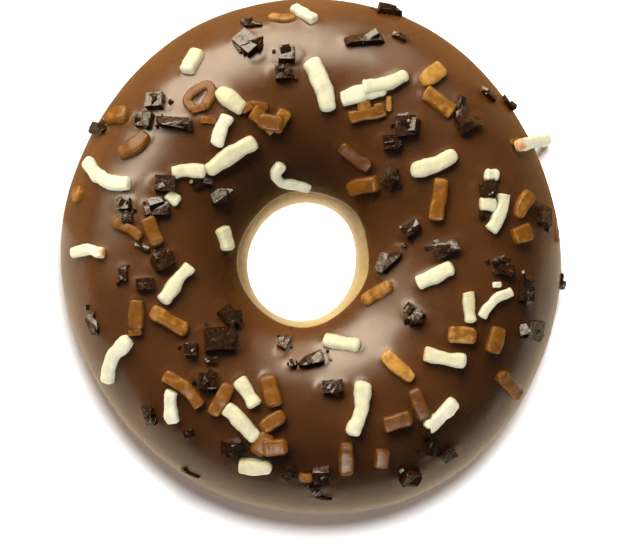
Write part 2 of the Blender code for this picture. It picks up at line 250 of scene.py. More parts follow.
# The dough ring
doughRing = {
    "clockSteps": 300, "sectionSteps": 110,
    "Wave Size": 9 * mm, "Wave Height": 0.35 * mm, "Grain Size": 1.8 * mm, "Grain Height": 0.12 * mm,
    "Seed": 2.0,
}
doughLook = {
    "shader": {"Subsurface_Weight": 0.15, "Subsurface_Scale": 0.0015, "Subsurface_Radius": (1.0, 0.5, 0.2),
               "Roughness": 0.62},
    "brown": (0.36, 0.19, 0.06), "golden": (0.51, 0.39, 0.16), "cream": (0.57, 0.49, 0.28),
    # the bands of colour, by height as a share of the bands' reach
    "bands": ((0.16, "brown"), (0.34, "golden"), (0.44, "cream"), (0.56, "cream"), (0.68, "golden"),
              (0.9, "golden")),
    "bandsReach": 30 * mm, "blotch": 0.07, "blotchSize": 6 * mm,
    "freckleSize": 0.9 * mm, "freckleRange": (0.35, 0.7), "freckles": 0.35,
    "pores": (2.2 * mm, 5.0, 0.25 * mm), "grain": (0.4 * mm, 4.0, 0.06 * mm),  # size, detail, depth
}


def friedDough(look):
    material, tree, shader, places = newMaterial("friedDough", **look["shader"])
    height = addNode(tree, "ShaderNodeSeparateXYZ", {0: places}).outputs["Z"]
    blotched = pattern(tree, places, look["blotchSize"])
    blotch = spread(tree, blotched, *wideNoise, -look["blotch"], look["blotch"])
    level = maths(tree, "ADD", spread(tree, height, 0.0, look["bandsReach"], 0.0, 1.0), blotch)
    colour = ramp(tree, level, [(share, look[tone]) for share, tone in look["bands"]])
    freckled = pattern(tree, places, look["freckleSize"], 5.0)
    fine = addNode(tree, "ShaderNodeMix", {
        0: spread(tree, freckled, *look["freckleRange"], 0.0, look["freckles"]), 6: colour,
        7: (*look["brown"], 1.0)}, data_type="RGBA")
    tree.links.new(fine.outputs[2], shader.inputs["Base Color"])
    bumps(tree, shader, places, (look["pores"], look["grain"]))
    return material


def makeDough(tree, look):
    clock = np.linspace(0, 360, doughRing["clockSteps"], endpoint=False)[:, None]
    turn = np.linspace(0, 360, doughRing["sectionSteps"], endpoint=False)[None, :]
    host = gridMesh("doughRing", skinPoints(clock, turn, 0.0))
    return grown("doughRing", host, tree, dict(doughRing, Material=look))


# The icing, a coat over the dough. Its edges are turns round the section, each with its own lobes.
coat = {
    "gap": 0.4, "thickness": 1.25, "holeTurn": 146.5, "outerTurn": -30.0,
    "holeEdge": ((1, 1.2, 340), (2, 1.5, 90), (5, 0.8, 10)),
    "outerEdge": ((1, 3.0, 80), (4, 2.5, 25), (7, 1.6, 60)),
    "dripClock": 283.0, "dripSpread": 6.0, "dripTurn": 9.0,
    "clockSteps": 520, "topSteps": 150, "underSteps": 12, "lipSteps": 5,
    # how far it climbs at the pieces that it holds, at most and as a share of their thickness
    "meniscus": 0.13, "meniscusShare": 0.25, "meniscusSpread": 0.38,
    "Wave Size": 16 * mm, "Wave Height": 0.5 * mm, "Grain Size": 3.5 * mm, "Grain Height": 0.05 * mm,
    "Seed": 7.0,
}
milkLook = {
    "shader": {"Subsurface_Weight": 0.08, "Subsurface_Scale": 0.001, "Subsurface_Radius": (1.0, 0.45, 0.25),
               "IOR": 1.6},
    "tones": ((0.3, (0.078, 0.0265, 0.005)), (0.5, (0.095, 0.033, 0.0066)), (0.72, (0.114, 0.042, 0.009))),
    "toneSize": 14 * mm, "sheenSize": 5 * mm, "roughness": (0.25, 0.33),
    "swells": (3.2 * mm, 0.5, 0.02 * mm), "grain": (0.25 * mm, 3.0, 0.002 * mm),  # size, detail, depth
}


def milkChocolate(look):
    material, tree, shader, places = newMaterial("milkChocolate", **look["shader"])
    colour = ramp(tree, pattern(tree, places, look["toneSize"]), look["tones"])
    tree.links.new(colour, shader.inputs["Base Color"])
    sheen = pattern(tree, places, look["sheenSize"])
    tree.links.new(spread(tree, sheen, *usualNoise, *look["roughness"]), shader.inputs["Roughness"])
    bumps(tree, shader, places, (look["swells"], look["grain"]))
    return material


def icingEdges(clock):
    away = (clock - coat["dripClock"] + 180) % 360 - 180
    drip = coat["dripTurn"] * np.exp(-((away / coat["dripSpread"]) ** 2))
    return (coat["outerTurn"] + swell(clock, coat["outerEdge"]) - drip,
            coat["holeTurn"] + swell(clock, coat["holeEdge"]))


def climb(points, held):
    # how far the icing climbs at the pieces that it holds
    height = np.zeros(points.shape[:-1])
    for stations, normal, width, thickness, beyond in held:
        for first, last in zip(stations, stations[1:]):
            start = np.array(first)
            stretch = np.array(last) - start
            share = np.clip((points - start) @ stretch / max(stretch @ stretch, 1e-9), 0, 1)
            away = np.linalg.norm(points - start - share[..., None] * stretch, axis=-1) - width / 2
            near = np.exp(-np.maximum(away, 0) / coat["meniscusSpread"])
            height = np.maximum(height, near * min(coat["meniscus"], thickness * coat["meniscusShare"]))
    return height


def makeIcing(tree, held, look):
    clock = np.linspace(0, 360, coat["clockSteps"], endpoint=False)[:, None]
    outerEdge, holeEdge = icingEdges(clock)
    half = coat["thickness"] / 2
    middle = coat["gap"] + half
    lipTurn = math.degrees(half / (ringForm["crestRise"] + middle))
    lipAngles = np.linspace(90, -90, coat["lipSteps"] + 2)[1:-1]
    top = outerEdge + (holeEdge - outerEdge) * np.linspace(0, 1, coat["topSteps"])
    under = holeEdge + (outerEdge - holeEdge) * np.linspace(0, 1, coat["underSteps"])
    holeLip = holeEdge + lipTurn * np.cos(np.radians(lipAngles))
    outerLip = outerEdge - lipTurn * np.cos(np.radians(lipAngles))
    rise = half * np.sin(np.radians(lipAngles))
    face = skinPoints(clock, top, middle + half)
    face = skinPoints(clock, top, middle + half + climb(face, held))
    section = np.concatenate((
        face, skinPoints(clock, holeLip, middle + rise), skinPoints(clock, under, middle - half),
        skinPoints(clock, outerLip, middle - rise)), axis=1)
    return grown("icingCoat", gridMesh("icingCoat", section), tree, dict(coat, Material=look))


# Where the pieces lie. The photograph was taken from the eye, and each place was read in it,
# in millimetres on a level plane, from which it follows the line of sight to the icing. A bar is
# its middle, turn, length and width, and how far its middle bulges to the left of its turn. A curl
# is its width and its route. What is small lies over all the rest.
sight = {"eye": Vector((-30.4, -47.4, 713.0)), "height": 15.0, "shift": Vector((-0.54, -0.09)), "steps": 6}
laying = {
    "sinkShare": 0.3, "settleShare": 0.45,  # how deep a piece sinks in the icing, and into one below it
    "straightShare": 0.8, "curlBeyond": 0.2,  # the part of a bar that its stations span, and a curl's tips
    "stiffness": 0.45, "rimShare": 0.99, "steepest": 0.3,
}


def shareAcross(place):
    # where a place lies across the section, from -1 at the hole to 1 at the rim
    clock = math.degrees(math.atan2(place.y, place.x))
    inner, outer = ringRadii(clock, coat["gap"] + coat["thickness"])
    roundness = ringForm["upperRoundness"]
    across = 0.0
    for step in range(ringForm["leanSteps"]):
        up = (1 - min(abs(across), 1.0) ** roundness) ** (1 / roundness)
        across = (place.length - crestLean(clock) * up ** 2 - inner) / (outer - inner) * 2 - 1
    return across


def icingTop(place):
    # the icing's top below a place seen from above, and its normal
    clock = math.degrees(math.atan2(place.y, place.x))
    grow = coat["gap"] + coat["thickness"]
    across = max(-laying["rimShare"], min(laying["rimShare"], shareAcross(place)))
    turn = math.degrees(math.acos(signedPower(across, ringForm["upperRoundness"] / 2)))
    near = skinPoints(np.array((clock, clock + 1, clock)), np.array((turn, turn, turn + 1)), grow)
    point, along, around = (Vector(corner) for corner in near)
    return point, (along - point).cross(around - point).normalized()


def underSight(read):
    # where the line of sight through a place on the reading plane comes down on the icing
    eye = sight["eye"]
    aim = read + sight["shift"]
    height = sight["height"]
    for step in range(sight["steps"]):
        place = eye.xy + (aim - eye.xy) * (eye.z - height) / (eye.z - sight["height"])
        height = icingTop(place)[0].z
    return place


def restHeight(place, placed):
    # how far above the icing a piece rests on what lies there already
    found = 0.0
    for first, last, reach, top in placed:
        share = intersect_point_line(place, first, last)[1]
        nearest = first.lerp(last, max(0.0, min(1.0, share)))
        if (nearest - place).length < reach:
            found = max(found, top)
    return found


def stationsOnIcing(reads, width, thickness, placed):
    # the points of a piece's middle line: between the icing's curve and a stiff, straight line
    places = [underSight(read) for read in reads]
    middle = len(places) // 2
    base, normal = icingTop(places[middle])
    steepness = normal.xy / max(normal.z, laying["steepest"])
    lifts = [restHeight(place, placed) for place in places]
    lifts[middle] = max(lifts[middle], (lifts[0] + lifts[-1]) / 2)
    sink = thickness * laying["sinkShare"]
    stations = []
    for place, lift in zip(places, lifts):
        level = base.z - steepness.dot(place - base.xy)
        height = icingTop(place)[0].z * (1 - laying["stiffness"]) + level * laying["stiffness"]
        stations.append(Vector((place.x, place.y, height)) + normal * (lift + thickness / 2 - sink))
    for end, opposite in ((0, -1), (-1, 0)):
        if shareAcross(places[end]) > laying["rimShare"]:
            stations[end] = stations[middle] * 2 - stations[opposite]
    top = max(lifts) + thickness - sink - thickness * laying["settleShare"]
    placed.append((places[0], places[-1], width / 2, top))
    return stations, normal


def planOfBar(x, y, turn, length, width, bulge=0.0):
    # a bar's two ends and its middle on the reading plane
    direction = Vector((math.cos(math.radians(turn)), math.sin(math.radians(turn))))
    reach = direction * length / 2 * laying["straightShare"]
    middle = Vector((x, y))
    aside = Vector((-direction.y, direction.x))
    return [middle - reach, middle + aside * bulge, middle + reach]


def laidPieces(kind, names, placed):
    # each piece of a kind as its stations, top direction, width, thickness and length past its ends
    laid = []
    for name in names:
        for entry in kind[name]:
            if name == "curls":
                width, route = entry
                reads = [Vector(read) for read in route]
                beyond = width * laying["curlBeyond"]
            else:
                width = entry[4]
                reads = planOfBar(*entry)
                beyond = entry[3] / 2 * (1 - laying["straightShare"])
            thickness = min(width * kind["flatness"], kind["thickest"])
            stations, normal = stationsOnIcing(reads, width, thickness, placed)
            laid.append((stations, normal, width, thickness, beyond))
    return laid


# The bar tree: a soft bar along each of the host's lines
def barTree():
    tree, wayIn, wayOut = newTree("layBars", {
        "Flatness": "Float", "Corner": "Float", "Lumps": "Float", "Lump Size": "Float", "Wander": "Float",
        "Wander Size": "Float", "Swelling": "Float", "Swelling Size": "Float", "Narrowing": "Float",
        "Steps": "Int", "Material": "Material"})
    lines = addNode(tree, "GeometryNodeMeshToCurve", {"Mesh": wayIn[0]})
    soft = addNode(tree, "GeometryNodeCurveSplineType", {"Curve": lines.outputs[0]},
                   spline_type="CATMULL_ROM")
    even = addNode(tree, "GeometryNodeResampleCurve", {"Curve": soft.outputs[0], "Count": wayIn["Steps"]})
    bend = noiseOf(tree, wayIn["Wander Size"], 1.0)["Color"]
    sway = scaled(tree, aroundZero(tree, bend), wayIn["Wander"])
    turned = addNode(tree, "GeometryNodeSetCurveNormal", {
        "Curve": shifted(tree, even.outputs[0], sway),
        "Normal": carried(tree, "pathNormal", "FLOAT_VECTOR")}, mode="FREE")
    # the ends draw in round a quarter circle whose depth each end carries
    along = addNode(tree, "GeometryNodeSplineParameter").outputs
    whole = addNode(tree, "GeometryNodeSplineLength").outputs[0]
    nearer = maths(tree, "MINIMUM", along["Length"], maths(tree, "SUBTRACT", whole, along["Length"]))
    share = maths(tree, "MINIMUM", maths(tree, "DIVIDE", nearer, carried(tree, "endDepth")), 1.0)
    short = maths(tree, "SUBTRACT", 1.0, share)
    arc = maths(tree, "SQRT", maths(tree, "SUBTRACT", 1.0, maths(tree, "MULTIPLY", short, short)))
    gain = maths(tree, "MULTIPLY", maths(tree, "SUBTRACT", 1.0, wayIn["Narrowing"]), arc)
    fat = noiseOf(tree, wayIn["Swelling Size"], 0.0)["Fac"]
    fatter = maths(tree, "MULTIPLY", maths(tree, "SUBTRACT", fat, 0.5), wayIn["Swelling"])
    drawn = maths(tree, "MULTIPLY", maths(tree, "ADD", wayIn["Narrowing"], gain),
                  maths(tree, "ADD", fatter, 1.0))
    size = maths(tree, "MULTIPLY", carried(tree, "halfWidth"), drawn)
    shape = addNode(tree, "GeometryNodeCurvePrimitiveQuadrilateral", {
        "Width": maths(tree, "MULTIPLY", wayIn["Flatness"], 2.0), "Height": 2.0})
    rounded = addNode(tree, "GeometryNodeFilletCurve", {
        "Curve": shape.outputs[0], "Radius": wayIn["Corner"], "Count": 4}, mode="POLY")
    swept = addNode(tree, "GeometryNodeCurveToMesh", {
        "Curve": turned.outputs[0], "Profile Curve": rounded.outputs[0], "Scale": size, "Fill Caps": True})
    lumpy = noiseOf(tree, wayIn["Lump Size"], 3.0, Roughness=0.5)["Fac"]
    lump = maths(tree, "MULTIPLY", maths(tree, "SUBTRACT", lumpy, 0.5), wayIn["Lumps"])
    outward = addNode(tree, "GeometryNodeInputNormal").outputs[0]
    geometry = shifted(tree, swept.outputs[0], scaled(tree, outward, lump))
    finishTree(tree, geometry, wayIn["Material"], wayOut)
    return tree


# The white strands and the caramel flakes, and how they look
whiteStrands = {
    "flatness": 0.82, "thickest": 2.3,
    "bars": (
        (-21.0, 34.9, 62, 4.7, 2.9), (-14.2, 28.4, -35, 6.0, 2.8), (-15.9, 22.8, 68, 6.2, 2.6, 0.3),
        (-14.3, 18.2, 33, 10.5, 2.8, 0.3), (-21.8, 15.2, 3, 5.8, 2.4, 0.3), (-38.6, 15.5, -58, 4.6, 2.5),
        (-34.9, 13.6, -12, 5.8, 2.5, -0.6), (-1.0, 43.7, -32, 4.8, 2.1), (1.7, 31.0, -70, 10.0, 3.0, 0.5),
        (9.8, 29.5, 12, 8.5, 2.7, 0.2), (13.5, 31.6, 18, 8.5, 2.7, -0.5), (40.2, 20.7, 13, 6.6, 2.1),
        (22.3, 17.2, 22, 9.0, 2.9, -0.4), (32.7, 14.8, -8, 2.7, 2.4), (32.1, 9.5, 0, 3.0, 2.4),
        (33.9, 8.2, 70, 7.0, 2.2, -0.5), (-39.5, 0.6, 0, 6.0, 1.9, 0.7), (-24.6, 10.5, -40, 2.6, 2.0),
        (-15.5, 3.3, -78, 4.3, 2.8), (-24.2, -5.0, 52, 8.3, 2.5, 0.2), (22.7, -3.2, 25, 7.3, 2.5),
        (28.8, -9.0, -84, 5.6, 2.2), (33.6, -8.3, 40, 7.3, 1.8, 0.6), (5.9, -15.7, -8, 6.8, 2.4),
        (24.3, -18.2, -10, 7.6, 2.7, -0.2), (-34.2, -18.6, 65, 9.0, 2.5, 1.0),
        (-24.6, -26.9, -88, 6.0, 2.1, -0.4), (-11.2, -24.5, -58, 6.0, 2.5),
        (-12.3, -29.8, -45, 8.0, 2.5, 0.3), (-9.7, -37.4, -6, 6.0, 2.7), (8.7, -27.2, 78, 9.8, 2.9, -0.7),
        (23.5, -28.3, 42, 7.5, 2.5, -0.4),
    ),
    "curls": ((1.9, ((-5.2, 16.9), (-6.1, 15.3), (-4.9, 13.6), (-2.5, 13.1), (-0.4, 12.6))),),
    "small": ((33.9, -5.0, 0, 1.7, 0.9),),
    "smeared": {11: 0, 16: 2, 21: 0, 24: 0},  # a strand's number and the station that is smeared
    "seed": 3, "tones": (0.25, 0.8), "toneStep": 0.2, "paler": (), "deeper": (3, 10),
    "endDepth": (0.1, 0.42), "girths": (0.92, 1.06),
    "Corner": 0.62, "Lumps": 0.48 * mm, "Lump Size": 1.7 * mm,
    "Wander": 0.9 * mm, "Wander Size": 4.0 * mm, "Swelling": 0.5, "Swelling Size": 3.0 * mm,
    "Narrowing": 0.35, "Steps": 48,
}
caramelFlakes = {
    "flatness": 0.72, "thickest": 2.0,
    "bars": (
        (-34.3, 25.2, 10, 4.0, 2.8), (-31.6, 20.1, 38, 6.5, 2.6, -0.4), (-18.3, 24.5, -5, 3.0, 1.3),
        (-5.0, 43.2, 0, 4.8, 1.8, -0.3), (-8.5, 24.6, -43, 5.7, 2.6), (-5.4, 24.6, 58, 4.5, 2.4),
        (-9.2, 27.3, -10, 3.6, 1.6), (10.4, 25.9, 12, 6.8, 2.2), (8.3, 18.2, -35, 6.6, 2.3),
        (10.0, 12.9, 12, 5.8, 2.7, 0.3), (22.0, 32.8, 35, 4.6, 2.9), (23.2, 28.0, -35, 6.2, 2.6),
        (-41.3, 11.2, 75, 3.0, 2.2), (-32.6, 4.8, -30, 6.0, 1.8, 0.3), (-28.2, 4.5, -65, 5.3, 2.7),
        (23.4, 10.5, 82, 7.8, 2.8), (38.5, 9.4, 62, 5.0, 2.3, 0.2), (38.1, 4.2, 20, 3.6, 3.0),
        (-31.0, -10.5, 87, 5.5, 2.6), (-25.3, -11.5, -30, 7.5, 2.7), (12.3, -6.6, 33, 6.2, 2.2),
        (27.4, -14.0, -3, 5.2, 3.0), (33.3, -14.8, 75, 5.0, 2.6), (-22.7, -23.9, -40, 8.8, 2.3, 0.6),
        (-15.9, -25.6, 62, 6.6, 2.4), (-7.0, -24.3, -75, 5.8, 2.8), (-6.6, -29.6, 30, 5.0, 2.7),
        (-8.5, -33.5, 56, 4.6, 2.8), (-6.2, -34.0, 8, 4.6, 2.8), (16.0, -19.7, -42, 7.2, 2.5),
        (19.7, -26.5, -68, 6.0, 2.6), (15.9, -29.5, 15, 5.4, 2.5), (35.7, -22.9, -48, 5.8, 2.6),
        (6.6, -36.1, 90, 6.0, 2.5), (12.8, -36.0, 80, 3.3, 2.6),
    ),
    "curls": (
        (1.7, ((-21.0, 26.6), (-22.0, 28.1), (-20.4, 30.0), (-18.5, 30.8), (-17.6, 29.3), (-18.9, 27.0))),
    ),
    "small": (
        (-11.3, 27.0, 40, 2.4, 1.5), (9.8, 27.3, 10, 2.5, 2.1), (12.6, 26.8, 10, 2.0, 1.9),
        (14.3, 27.7, 90, 2.8, 0.9), (44.6, 4.1, 90, 2.6, 1.0), (-31.3, -13.7, 5, 2.6, 1.2),
        (-0.8, -39.3, 0, 2.6, 1.6), (36.9, 20.9, 0, 1.5, 1.2), (-20.0, 26.6, 14, 2.8, 1.3),
        (-7.2, 24.3, -8, 4.8, 3.1),
    ),
    "smeared": {}, "seed": 5, "tones": (0.25, 0.55), "toneStep": 0.28,
    "paler": (3, 10, 11, 20, 29, 37, 39), "deeper": (8, 30, 31, 32, 33, 34, 38),
    "endDepth": (0.08, 0.5), "girths": (0.92, 1.06),
    "Corner": 0.42, "Lumps": 0.3 * mm, "Lump Size": 2.0 * mm,
    "Wander": 0.6 * mm, "Wander Size": 4.0 * mm, "Swelling": 0.35, "Swelling Size": 3.0 * mm,
    "Narrowing": 0.35, "Steps": 44,
}
whiteLook = {
    "shader": {"Subsurface_Weight": 0.3, "Subsurface_Scale": 0.0012, "Subsurface_Radius": (1.0, 0.8, 0.4),
               "IOR": 1.46},
    "tones": ((0.2, (0.44, 0.415, 0.27)), (0.55, (0.51, 0.505, 0.385)), (0.85, (0.57, 0.57, 0.47))),
    "smear": (0.42, 0.16, 0.02), "roughness": (0.39, 0.55),
    "waves": (0.7 * mm, 3.0, 0.08 * mm), "grain": (0.16 * mm, 3.0, 0.08 * mm / 6),  # size, detail, depth
}
caramelLook = {
    "shader": {"Subsurface_Weight": 0.15, "Subsurface_Scale": 0.001, "Subsurface_Radius": (1.0, 0.5, 0.2),
               "IOR": 1.38},
    "tones": ((0.0, (0.075, 0.023, 0.001)), (0.45, (0.155, 0.056, 0.003)), (0.9, (0.40, 0.21, 0.045))),
    "smear": (0.60, 0.29, 0.085), "roughness": (0.29, 0.45),
    "waves": (0.7 * mm, 3.0, 0.05 * mm), "grain": (0.16 * mm, 3.0, 0.05 * mm / 6),
}
# what both looks share: how they mottle, and how ragged a smear's edge is
toned = {
    "mottleSize": 1.4 * mm, "mottle": 0.25, "glossSize": 1.0 * mm,
    "raggedSize": 0.8 * mm, "ragged": 0.12, "smearRange": (0.84, 1.0), "smearMost": 0.85,
}


def tonedChocolate(name, look):
    # a chocolate whose pieces differ in tone, by the attribute that each one carries
    material, tree, shader, places = newMaterial(name, **look["shader"])
    tone = addNode(tree, "ShaderNodeAttribute", attribute_name="pieceTone").outputs["Fac"]
    mottled = pattern(tree, places, toned["mottleSize"])
    mottle = spread(tree, mottled, *wideNoise, -toned["mottle"], toned["mottle"])
    colour = ramp(tree, maths(tree, "ADD", tone, mottle), look["tones"])
    smeared = addNode(tree, "ShaderNodeAttribute", attribute_name="smear").outputs["Fac"]
    torn = pattern(tree, places, toned["raggedSize"])
    ragged = maths(tree, "ADD", smeared, spread(tree, torn, *usualNoise, -toned["ragged"], toned["ragged"]))
    amount = spread(tree, ragged, *toned["smearRange"], 0.0, toned["smearMost"])
    mixed = addNode(tree, "ShaderNodeMix", {0: amount, 6: colour, 7: (*look["smear"], 1.0)},
                    data_type="RGBA")
    tree.links.new(mixed.outputs[2], shader.inputs["Base Color"])
    gloss = spread(tree, pattern(tree, places, toned["glossSize"]), *usualNoise, *look["roughness"])
    tree.links.new(gloss, shader.inputs["Roughness"])
    bumps(tree, shader, places, (look["waves"], look["grain"]))
    return material


def makeBars(name, kind, laid, tree, look):
    # the host carries each bar's line, half width, tone and smear to the tree
    rng = random.Random(kind["seed"])
    points = []
    edges = []
    marks = {"halfWidth": [], "endDepth": [], "pieceTone": [], "smear": []}
    normals = []
    for number, (stations, normal, width, thickness, beyond) in enumerate(laid):
        tone = rng.uniform(*kind["tones"])
        tone += kind["toneStep"] * ((number in kind["paler"]) - (number in kind["deeper"]))
        depths = [width * rng.uniform(*kind["endDepth"]) for end in range(2)]
        line = list(stations)
        line[0] = line[0] + (line[0] - line[1]).normalized() * beyond
        line[-1] = line[-1] + (line[-1] - line[-2]).normalized() * beyond
        first = len(points)
        points += line
        edges += [(first + step, first + step + 1) for step in range(len(line) - 1)]
        for step in range(len(line)):
            marks["halfWidth"].append(width / 2 * rng.uniform(*kind["girths"]) * mm)
            marks["endDepth"].append(depths[step * 2 >= len(line)] * mm)
            marks["pieceTone"].append(tone)
            marks["smear"].append(1.0 if kind["smeared"].get(number) == step else 0.0)
            normals.append(normal)
    host = bpy.data.meshes.new(name)
    host.from_pydata([point * mm for point in points], edges, [])
    for mark, values in marks.items():
        host.attributes.new(mark, "FLOAT", "POINT").data.foreach_set("value", values)
    flat = [part for normal in normals for part in normal]
    host.attributes.new("pathNormal", "FLOAT_VECTOR", "POINT").data.foreach_set("vector", flat)
    return grown(name, host, tree, dict(kind, Flatness=kind["flatness"], Material=look))


# The chip tree: broken chips of several shapes on the host's points, crumbly all over. The first
# half of the shapes are boxy, for slender chips and some lumps, and the others are rounder.
def chipTree(kind):
    tree, wayIn, wayOut = newTree("scatterChips", {
        "Boxiness": "Float", "Chunkiness": "Float", "Roughness": "Float", "Rough Size": "Float",
        "Grit": "Float", "Grit Size": "Float", "Seed": "Int", "Material": "Material"})
    variants = tree.nodes.new("GeometryNodeJoinGeometry")
    for shape in range(kind["shapes"]):
        boxy, corners = wayIn["Boxiness"], kind["boxCorners"]
        if shape >= kind["shapes"] // 2:
            boxy, corners = wayIn["Chunkiness"], kind["chunkCorners"]
        seed = maths(tree, "ADD", wayIn["Seed"], float(shape * 10))
        place = addNode(tree, "FunctionNodeRandomValue", {
            "Min": (-0.5, -0.5, -0.5), "Max": (0.5, 0.5, 0.5), "Seed": seed}, data_type="FLOAT_VECTOR")
        # each corner is drawn out towards the sides of its box
        signs = addNode(tree, "ShaderNodeVectorMath", {0: place.outputs[0]}, operation="SIGN")
        sides = scaled(tree, signs.outputs[0], 0.5)
        out = addNode(tree, "ShaderNodeMix", {0: boxy, 4: place.outputs[0], 5: sides}, data_type="VECTOR")
        cloud = addNode(tree, "GeometryNodePoints", {"Count": corners, "Position": out.outputs[1]})
        hull = addNode(tree, "GeometryNodeConvexHull", {0: cloud.outputs[0]})
        instance = addNode(tree, "GeometryNodeGeometryToInstance", {0: hull.outputs[0]})
        tree.links.new(instance.outputs[0], variants.inputs[0])
    turn = addNode(tree, "FunctionNodeEulerToRotation", {0: carried(tree, "chipTurn", "FLOAT_VECTOR")})
    strewn = addNode(tree, "GeometryNodeInstanceOnPoints", {
        "Points": wayIn[0], "Instance": variants.outputs[0], "Pick Instance": True,
        "Instance Index": carried(tree, "chipShape", "INT"), "Rotation": turn.outputs[0],
        "Scale": carried(tree, "chipSize", "FLOAT_VECTOR")})
    solid = addNode(tree, "GeometryNodeRealizeInstances", {"Geometry": strewn.outputs[0]})
    parted = addNode(tree, "GeometryNodeSeparateGeometry", {
        0: solid.outputs[0], 1: carried(tree, "isCrumb", "BOOLEAN")})
    both = tree.nodes.new("GeometryNodeJoinGeometry")
    for source, level in zip(parted.outputs, kind["fineness"]):
        fine = addNode(tree, "GeometryNodeSubdivideMesh", {"Mesh": source, "Level": level})
        tree.links.new(fine.outputs[0], both.inputs[0])
    geometry = both.outputs[0]
    for height, size in (("Roughness", "Rough Size"), ("Grit", "Grit Size")):
        rough = noiseOf(tree, wayIn[size], 2.0)["Color"]
        geometry = shifted(tree, geometry, scaled(tree, aroundZero(tree, rough), wayIn[height]))
    finishTree(tree, geometry, wayIn["Material"], wayOut)
    return tree


# The dark chips
darkChips = {
    "flatness": 0.75, "thickest": 2.4,
    "bars": (
        (-27.5, 27.7, 0, 3.3, 3.3), (-29.4, 24.3, 0, 3.2, 3.0), (-24.4, 24.1, 0, 6.5, 2.3),
        (-10.3, 42.0, 5, 4.5, 2.0), (-11.2, 38.2, -40, 4.6, 3.8), (-4.1, 36.4, 0, 3.3, 3.3),
        (-4.8, 33.2, 0, 3.2, 3.0), (10.0, 39.5, 6, 7.6, 2.6), (14.0, 44.3, -10, 5.5, 2.5),
        (17.3, 23.6, 0, 4.2, 4.2), (14.8, 20.8, 0, 3.2, 3.0), (14.6, 14.2, 75, 4.6, 2.8),
        (27.2, 26.7, 90, 4.4, 2.2), (28.8, 24.2, 15, 5.3, 2.8), (32.1, 29.5, -40, 3.5, 1.9),
        (35.7, 27.7, -50, 3.2, 1.9), (-25.9, 13.0, 0, 4.2, 3.3), (-27.3, 8.7, 0, 5.2, 2.7),
        (-19.2, 13.6, 10, 3.3, 1.9), (-15.8, 11.2, 0, 4.5, 2.8), (-26.3, -0.8, 30, 4.0, 3.2),
        (-29.5, -5.0, 5, 3.7, 2.4), (-38.5, -12.0, -65, 4.5, 2.1), (-16.3, -15.0, 0, 6.2, 4.8),
        (-18.3, -22.3, 0, 3.5, 3.5), (-14.0, -34.0, 0, 3.6, 2.8), (2.0, -39.0, 0, 3.5, 3.5),
        (17.9, -39.2, 0, 3.2, 3.2), (0.0, -18.8, 10, 5.3, 2.6), (4.2, -23.6, 0, 4.2, 2.8),
        (24.8, 1.7, 18, 5.8, 3.0), (14.4, -0.9, 50, 5.8, 2.6), (19.0, -10.4, -35, 3.7, 2.8),
        (32.0, 12.2, 0, 3.2, 2.9), (38.7, -6.0, 90, 4.5, 3.0), (39.8, -12.8, 0, 3.6, 3.6),
        (18.4, 5.2, 30, 3.4, 2.4), (-4.7, -15.7, 70, 3.4, 2.0), (41.8, 7.4, 90, 3.6, 3.2),
        (35.2, -2.3, -5, 3.3, 2.2), (21.5, -33.8, 60, 3.4, 2.4), (-14.8, -10.9, -50, 4.2, 3.0),
        (-37.5, 22.8, 0, 2.5, 2.5), (-33.2, 9.3, 0, 2.5, 2.5), (24.8, -35.2, 30, 3.0, 2.4),
        (-21.3, -16.7, 0, 2.5, 2.5), (-3.7, -38.5, 40, 2.6, 2.2), (16.2, 39.8, -20, 3.0, 1.7),
        (-33.4, -3.2, 90, 2.6, 1.7), (-32.7, 6.9, 0, 2.2, 2.2),
    ),
    "small": (
        (-30.0, 1.8, -25, 3.5, 1.0), (-17.8, -18.6, 0, 2.4, 1.4),
        (-28.9, -27.4, 0, 1.8, 1.8), (-28.2, -29.3, 0, 1.8, 1.8), (-21.5, -31.5, 0, 1.8, 1.8),
        (-21.3, -38.7, -30, 4.0, 1.0), (1.0, -41.3, 0, 2.0, 2.0), (2.3, -43.2, 0, 3.5, 0.9),
        (20.7, -31.3, 0, 2.0, 2.0), (-3.0, -19.5, 0, 1.3, 1.3), (31.2, 7.8, 0, 1.5, 1.5),
        (34.2, -0.3, 10, 3.0, 1.3), (45.5, -4.0, 90, 3.0, 1.0),
    ),
    "seed": 11, "shapes": 8, "boxCorners": 30, "chunkCorners": 14,
    "fineness": (1, 2),  # how often a crumb's faces and a chip's are divided
    "slender": 1.6, "chunkBody": 0.9, "sharpAngle": 32, "tilts": {"chip": 0.1, "lump": 0.6, "crumb": 1.0},
    # the lumps on each chip, of which a slender one has one: their places and sizes as shares of its own
    "lumpsEach": 3, "lumpAlong": 0.3, "lumpAside": 0.28, "lumpShares": (0.4, 0.62), "lumpBreadth": 1.1,
    "lumpHeights": (0.7, 1.1), "lumpLifts": (-0.05, 0.3), "boxyLumps": 0.4,
    # the crumbs round each chip: their distance as a share of its size, and their own measures
    "crumbsEach": 2, "crumbReach": (0.56, 0.85), "crumbRim": 0.97, "crumbSize": (0.4, 0.95),
    "crumbBreadths": (0.6, 1.0), "crumbHeight": 0.7, "crumbLift": 0.25,
    "Boxiness": 0.82, "Chunkiness": 0.5, "Roughness": 0.34 * mm, "Rough Size": 1.3 * mm,
    "Grit": 0.09 * mm, "Grit Size": 0.4 * mm, "Seed": 4,
}
chipLook = {
    "shader": {"IOR": 1.6},
    "tones": ((0.32, (0.014, 0.005, 0.0012)), (0.5, (0.031, 0.0115, 0.0034)), (0.72, (0.078, 0.032, 0.011))),
    "speckleSize": 0.6 * mm, "roughness": (0.3, 0.1),  # the paler specks are the glossier ones
    "breaks": (0.7 * mm, 4.0, 0.13 * mm), "grain": (0.2 * mm, 3.0, 0.02 * mm),  # size, detail, depth
}


